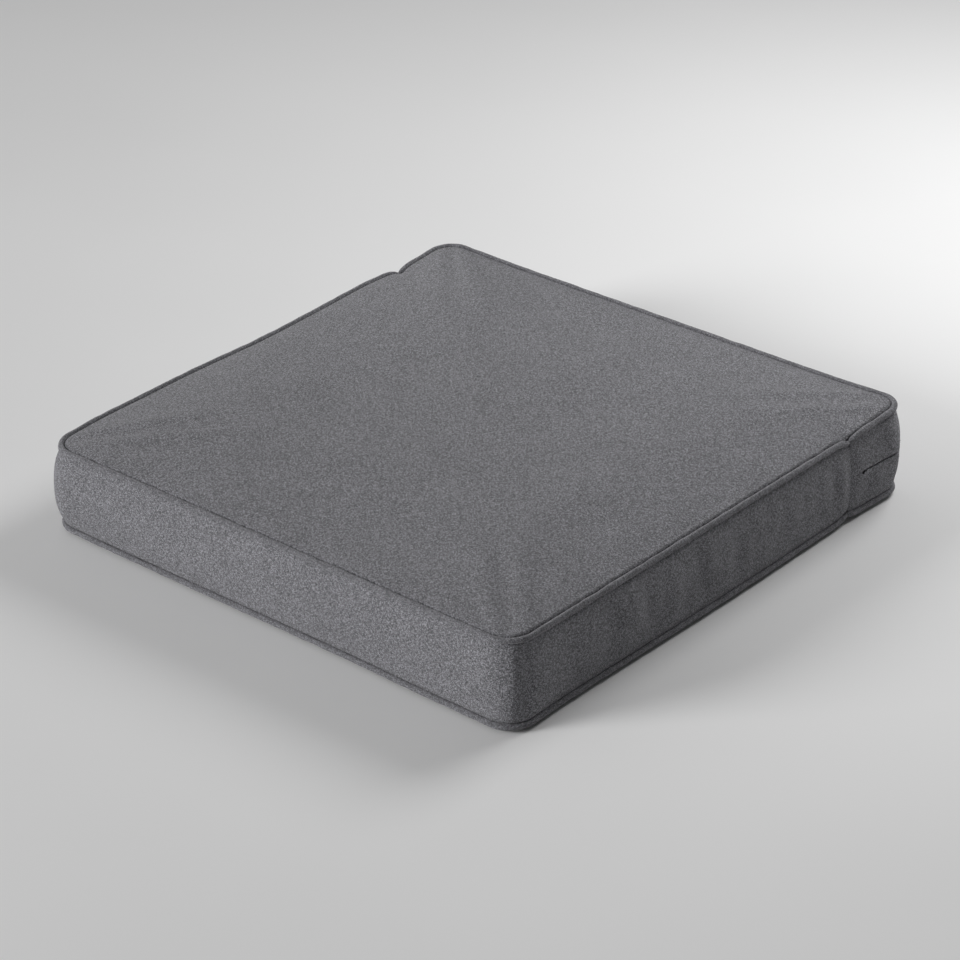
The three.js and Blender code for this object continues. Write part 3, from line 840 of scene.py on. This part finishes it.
PIPING_ENDS = 0.3 * MM  # between the two ends of the strip, at the middle of the back
FLANGE = 5 * MM
STRIP_EDGE = 7 * MM  # of the strip's cloth, past where it leaves the cord
CREASE_PITCH = 5.2 * MM
CREASE_DEPTH = 0.08 * MM
STRAND_PITCH = 14 * MM
STRAND_RADIUS = 1.5 * MM
STRAND_SWELL = 0.42 * MM


def round_path(count, gap):
    """Shares of the way round, leaving half a gap at each side of the middle of the back."""
    edge = gap / 2 / ROUND_LENGTH
    return np.linspace(edge, 1 - edge, count)


def pinched(turns, most, width):
    """How much of its thickness the piping keeps on its way round: it narrows at the joins."""
    kept = np.ones_like(turns)
    for side, join in JOINS:
        kept -= most * bump((turns - turn_at(join, side)) * ROUND_LENGTH, width)
    return kept


def piping(name, seam, sign):
    """The bias strip wrapped round its cord, with its flange in the seam."""
    turns = round_path(1500, PIPING_ENDS)
    edge, out = plan(turns)
    path = joined(edge, seam)
    along = turns * ROUND_LENGTH
    inward = -out * math.cos(FLANGE_TILT) - UP * sign * math.sin(FLANGE_TILT)
    across = -out * math.sin(FLANGE_TILT) + UP * sign * math.cos(FLANGE_TILT)
    pinch = pinched(turns, 0.5, 2.2 * MM)
    uneven = 0.16 * MM * waves(along, 0 * along, 26 * MM, 31 + sign)
    uneven += 0.08 * MM * waves(along, 0 * along, 8 * MM, 41 + sign)
    creased = 0.5 + 0.5 * waves(along, 0 * along, 60 * MM, 37)

    def wall(radius, half_gap, steps):
        start = math.asin(half_gap / radius)
        for angle in np.linspace(start, 2 * math.pi - start, steps):
            crease = np.sin(2 * math.pi * along / CREASE_PITCH + angle * 2)
            size = (radius + uneven + CREASE_DEPTH * crease * creased) * pinch
            place = inward * (size * math.cos(angle))[:, None]
            place = place + across * (size * math.sin(angle))[:, None]
            yield path + place, radius * angle

    def flange(half_gap, run):
        yield path + inward * (PIPING_RADIUS + FLANGE) + across * half_gap, run

    half_strip = SEAM_GAP / 2 + PIPING_CLOTH
    girth = 2 * math.pi * PIPING_RADIUS
    rows = [
        *flange(half_strip, -STRIP_EDGE),
        *wall(PIPING_RADIUS, half_strip, 20),
        *flange(-half_strip, girth + STRIP_EDGE),
        *flange(-SEAM_GAP / 2, girth + STRIP_EDGE),
        *reversed(list(wall(PIPING_RADIUS - PIPING_CLOTH, SEAM_GAP / 2, 14))),
        *flange(SEAM_GAP / 2, -STRIP_EDGE),
    ]
    grid = np.stack([row for row, _ in rows], 1)
    bias = math.sqrt(0.5)
    cloth = [cloth_layout((along + run) * bias, (along - run) * bias, 40 + sign) for _, run in rows]
    return tube(name, grid, PIPING, np.stack(cloth, 1))


def cord(name, seam):
    """Filler cord of three twisted strands."""
    turns = np.arange(1400) / 1400
    edge, out = plan(turns)
    path = joined(edge, seam)
    twists = round(ROUND_LENGTH / STRAND_PITCH)
    pinch = pinched(turns, 0.58, 3 * MM)
    rows = []
    for angle in np.arange(16) * math.pi / 8:
        strands = abs(np.sin(1.5 * (angle - 2 * math.pi * turns * twists)))
        size = (STRAND_RADIUS + STRAND_SWELL * strands) * pinch
        place = out * (size * math.cos(angle))[:, None] + UP * (size * math.sin(angle))[:, None]
        rows.append(path + place)
    return tube(name, np.stack(rows, 1), CORD, looped=True)


# ---- Zip ----

TEETH_DEPTH = 6.9 * MM  # behind the face
TEETH_OFFSET = 1.95 * MM  # of each row, from the middle of the zip
COIL_PITCH = 1.5 * MM
COIL_HEIGHT = 1.15 * MM
COIL_DEPTH = 0.92 * MM
COIL_THREAD = 0.28 * MM
TAPE_THICKNESS = 0.5 * MM
TAPE_END = 6 * MM  # the tapes run on this far past the slit
TAPE_PROFILE = (  # depth behind the face, and height from the middle of the zip, in millimetres
    (8.6, 1.0), (8.6, 2.2), (8.6, 3.4), (7.9, 4.6), (6.6, 6.2), (5.2, 7.6), (4.3, 9), (4.1, 11), (4.1, 14),
)


def behind_face(grid, turns):
    """The line of the slit round the cushion, on the zip band's face, and its outward directions."""
    edge, out = plan(turns)
    slit = band_at(grid, turns, np.array([[0.5]]))[0]
    stands = ((slit[:, :2] - edge) * out[:, :2]).sum(-1) + CLOTH / 2 + ZIP_SINK
    stands = stands - ZIP_SINK * (1 - zip_straight(turns))
    return joined(edge, MIDDLE) + out * stands[:, None], out


def tape(name, grid, upper):
    """The woven tape that holds one row of teeth."""
    sign = 1 if upper else -1
    ends = TAPE_END / ROUND_LENGTH
    turns = np.linspace(SLIT_RIGHT - ends, SLIT_LEFT + ends, 900)
    path, out = behind_face(grid, turns)
    rows = np.stack([path - out * depth * MM + UP * sign * up * MM for depth, up in TAPE_PROFILE])
    cloth = cloth_layout(turns[None] * ROUND_LENGTH, run_up(rows), 50 if upper else 60)
    return shell(name, rows, TAPE_THICKNESS, TAPE, cloth)


def coil(name, grid, upper):
    """One row of teeth: a flattened coil of stiff thread, half a turn from the other row."""
    sign = 1 if upper else -1
    length = SLIT_LEFT - SLIT_RIGHT
    loops = round(length * ROUND_LENGTH / COIL_PITCH)
    steps = np.linspace(0, loops, loops * 12 + 1)
    path, out = behind_face(grid, SLIT_RIGHT + length * steps / loops)
    angle = 2 * math.pi * steps + (math.pi if upper else 0)
    spine = path + UP * sign * TEETH_OFFSET - out * TEETH_DEPTH
    line = spine + UP * (COIL_HEIGHT * np.cos(angle))[:, None]
    line = line + out * (COIL_DEPTH * np.sin(angle))[:, None]
    tangent = unit(np.gradient(line, axis=0))
    outward = unit(line - spine)
    beside = np.cross(tangent, outward)
    rows = []
    for turn in np.arange(5) * 2 * math.pi / 5:
        rows.append(line + COIL_THREAD * (outward * math.cos(turn) + beside * math.sin(turn)))
    return tube(name, np.stack(rows, 1), NYLON)


SMALL_FACE = 3 * MM * MM  # a smaller face belongs to a curve
SHARP_EDGE = math.radians(35)


def bevelled(node, name, width, body):
    """A copy of a CAD node with its edges rounded, and its flat faces left flat."""
    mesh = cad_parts[node].data.copy()
    mesh.name = name
    work = bmesh.new()
    work.from_mesh(mesh)
    bmesh.ops.remove_doubles(work, verts=work.verts, dist=0.02 * MM)
    bmesh.ops.dissolve_limit(work, angle_limit=math.radians(2), verts=work.verts, edges=work.edges)
    sharp = [e for e in work.edges if len(e.link_faces) == 2 and e.calc_face_angle() > SHARP_EDGE]
    rounded = work.faces.layers.float.new("rounded")
    edges = bmesh.ops.bevel(
        work, geom=sharp, offset=width, offset_type="OFFSET", segments=3, profile=0.5,
        affect="EDGES", clamp_overlap=True,
    )["faces"]
    for face in work.faces:
        face.smooth = face.calc_area() < SMALL_FACE
    for face in edges:
        face.smooth = True
        face[rounded] = 1.0
    work.to_mesh(mesh)
    work.free()
    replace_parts(place_piece(name, mesh, METAL, body), node)


# ---- Stitches ----

STITCH = 3.4 * MM  # from one stitch to the next
STITCH_SHARE = 0.78  # of that, the length that shows
THREAD_RADIUS = 0.2 * MM
STITCHES_ACROSS = 7 * MM  # from the lip towards the seam
STITCHES_END = 8 * MM  # they run on this far past the slit


def stitch_row(name, line, out):
    """A row of stitches along a line that lies on the cloth."""
    run = np.concatenate([[0], np.cumsum(np.linalg.norm(np.diff(line, axis=0), axis=-1))])
    count = int(run[-1] / STITCH)
    share = np.linspace(0, 1, 6)
    places = (np.arange(count)[:, None] + 0.5 + STITCH_SHARE * (share - 0.5)) * STITCH
    middle = np.stack([np.interp(places, run, line[:, axis]) for axis in range(3)], -1)
    facing = unit(np.stack([np.interp(places, run, out[:, axis]) for axis in range(3)], -1))
    height = THREAD_RADIUS * (2.6 * np.sin(math.pi * share) ** 0.5 - 1.8)
    middle = middle + facing * height[None, :, None]
    tangent = unit(np.gradient(middle, axis=1))
    beside = np.cross(tangent, facing)
    sides = []
    for angle in np.arange(6) * math.pi / 3:
        away = facing * math.sin(angle) + 1.2 * beside * math.cos(angle)
        sides.append(middle + THREAD_RADIUS * away)
    grid = np.stack(sides, 2)
    faces = []
    for first in range(0, grid[..., 0].size, grid[0, ..., 0].size):
        index = numbered(grid[0], first)
        faces += [*grid_faces(index, True), index[0, ::-1], index[-1]]
    add_piece(name, grid, faces, THREAD)


def zip_stitches(name, grid, upper):
    """The row that holds one side of the zip to its strip."""
    ends = STITCHES_END / ROUND_LENGTH
    turns = np.linspace(SLIT_RIGHT - ends, SLIT_LEFT + ends, 1500)
    across = STITCHES_ACROSS / (BAND_HEIGHT / 2)
    face, out, _ = zip_rows(grid, turns, upper, [across], lift=CLOTH / 2)
    stitch_row(name, face[0], out)


# ---- Filling ----


def pressed(points, cover, gap):
    """The points of the filling, with those that reach the cover pressed down to just under it."""
    tree = BVHTree.FromPolygons(cover.reshape(-1, 3).tolist(), grid_faces(numbered(cover)).tolist())
    for number in np.flatnonzero(points[:, 2] > MIDDLE):
        point = points[number]
        hit = tree.ray_cast(Vector((point[0], point[1], 0)), Vector(UP))[0]
        if hit and point[2] > hit.z - gap:
            point[2] = hit.z - gap
    return points


def filling(node, name, material, voxel, rough, seed, gap):
    """A soft copy of a CAD node: finer, rounded, and a little uneven. The two values of rough are
    how deep and how long its unevenness is, and gap is how far it stays under the top panel."""
    work = bpy.data.objects.new(name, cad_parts[node].data.copy())
    scene.collection.objects.link(work)
    remesh = work.modifiers.new("remesh", "REMESH")
    remesh.mode = "VOXEL"
    remesh.voxel_size = voxel
    round_off = work.modifiers.new("round", "SMOOTH")
    round_off.factor = 0.5
    round_off.iterations = 3
    done = work.evaluated_get(bpy.context.evaluated_depsgraph_get())
    mesh = bpy.data.meshes.new_from_object(done)
    bpy.data.objects.remove(work)
    mesh.name = name
    points = np.empty(len(mesh.vertices) * 3, np.float32)
    mesh.vertices.foreach_get("co", points)
    points = points.reshape(-1, 3).astype(float)
    normals = np.empty(points.size, np.float32)
    mesh.vertex_normals.foreach_get("vector", normals)
    uneven = waves(points[:, 0] + points[:, 2], points[:, 1] - points[:, 2], rough[1], seed) - 1.5
    points = points + normals.reshape(-1, 3) * (uneven * rough[0])[:, None]
    points = settled(pressed(points, top_grid, gap))
    mesh.vertices.foreach_set("co", points.astype(np.float32).ravel())
    mesh.update()
    mesh.shade_smooth()
    piece = place_piece(name, mesh, material)
    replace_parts(piece, node)


# ---- The cushion ----

top_base = panel_grid(RINGS, top_height)
band_base = band_grid(ROWS, COLUMNS)
top_base, band_base = filled(top_base, band_base)
top_grid = top_waves(refined_both(top_base, 2, 2))
band = boxing_waves(refined_both(band_base, 2, 3, closed=True))
foot_grid = foot_waves(panel_grid(2 * RINGS, foot_height))

top_panel = panel("top_panel_cloth", top_grid, 1, 0)
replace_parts(top_panel, "top_panel")
bottom_panel = panel("bottom_panel_cloth", foot_grid, -1, 5)
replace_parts(bottom_panel, "bottom_panel")
boxing_cloth = boxing(band)
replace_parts(boxing_cloth, "boxing_band")
for place, upper, seam in (("upper", True, UPPER_SEAM), ("lower", False, LOWER_SEAM)):
    sign = 1 if upper else -1
    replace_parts(zip_strip(place + "_zip_strip", band, upper), place + "_zip_band")
    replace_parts(piping(place + "_piping", seam, sign), place + "_piping_cover")
    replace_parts(cord(place + "_cord", seam), place + "_piping_cord")
    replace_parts(tape(place + "_tape", band, upper), place + "_zip_tape")
    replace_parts(coil(place + "_coil", band, upper), place + "_zip_teeth")
    zip_stitches(place + "_zip_stitches", band, upper)
bevelled("zip_slider", "slider", 0.3 * MM, "zip_slider")
bevelled("zip_pull", "pull", 0.25 * MM, "zip_pull")
filling("foam_core", "foam_block", FOAM, 5 * MM, (0.25 * MM, 60 * MM), 21, 8 * MM)
filling("fibre_wrap", "fibre_layer", FIBRE, 4 * MM, (0.4 * MM, 40 * MM), 22, 1.2 * MM)

# ---- Camera ----

AZIMUTH, ELEVATION, ROLL = math.radians(41.06), math.radians(28.57), math.radians(-0.67)
DISTANCE = 3.437
TARGET = Vector((-0.0326, 0.0406, 0.003))

camera = bpy.data.objects.new("camera", bpy.data.cameras.new("camera"))
camera.data.lens = 128.4
camera.data.sensor_width = 36
level = math.cos(ELEVATION)
back = Vector((math.sin(AZIMUTH) * level, -math.cos(AZIMUTH) * level, math.sin(ELEVATION)))
camera.location = TARGET + back * DISTANCE
camera.rotation_mode = "QUATERNION"
camera.rotation_quaternion = (-back).to_track_quat("-Z", "Y") @ Quaternion((0, 0, 1), ROLL)
scene.collection.objects.link(camera)
scene.camera = camera
scene.view_settings.view_transform = "Standard"

# ---- Light and floor ----

WORLD_STRENGTH = 0.36
WORLD_DARK = 0.12  # the right's share of the left's brightness
FLOOR_REACH = 15


def studio_world():
    """Even soft light, darker from the right."""
    world = bpy.data.worlds.new("studio")
    world.use_nodes = True
    tree = world.node_tree
    place = tree.nodes.new("ShaderNodeTexCoord")
    split = tree.nodes.new("ShaderNodeSeparateXYZ")
    side = tree.nodes.new("ShaderNodeMapRange")
    ramp = tree.nodes.new("ShaderNodeValToRGB")
    side.inputs["From Min"].default_value = -1
    ramp.color_ramp.elements[0].color = (1, 1, 1, 1)
    ramp.color_ramp.elements[1].color = (WORLD_DARK, WORLD_DARK, WORLD_DARK, 1)
    tree.links.new(place.outputs["Generated"], split.inputs[0])
    tree.links.new(split.outputs["X"], side.inputs["Value"])
    tree.links.new(side.outputs[0], ramp.inputs[0])
    tree.links.new(ramp.outputs[0], tree.nodes["Background"].inputs["Color"])
    tree.nodes["Background"].inputs["Strength"].default_value = WORLD_STRENGTH
    scene.world = world


def area_light(name, place, size, power):
    """A round light at that place, facing the origin."""
    light = bpy.data.lights.new(name, "AREA")
    light.shape = "DISK"
    light.size = size
    light.energy = power
    lamp = bpy.data.objects.new(name, light)
    lamp.location = place
    lamp.rotation_mode = "QUATERNION"
    lamp.rotation_quaternion = (-Vector(place)).to_track_quat("-Z", "Y")
    scene.collection.objects.link(lamp)


def floor_material():
    shader = Shader("floor", 0.9)
    place = shader.node("TexCoord").outputs["Object"]
    tone = shader.noise(place, 0.4)
    colour = shader.ramp(tone, (0.3, (0.83, 0.83, 0.83)), (0.7, (0.85, 0.85, 0.85)))
    shader.put(colour, shader.surface.inputs["Base Color"])
    return shader.material


studio_world()
area_light("key", (-3.6, -6.2, 2.4), 3, 445)
area_light("back", (0.3, 1.25, 1.15), 0.9, 15.5)

floor_mesh = bpy.data.meshes.new("floor")
floor_corners = [(x * FLOOR_REACH, y * FLOOR_REACH, 0) for x, y in ((-1, -1), (1, -1), (1, 1), (-1, 1))]
floor_mesh.from_pydata(floor_corners, [], [(0, 1, 2, 3)])
floor_mesh.materials.append(floor_material())
floor = bpy.data.objects.new("floor", floor_mesh)
scene.collection.objects.link(floor)
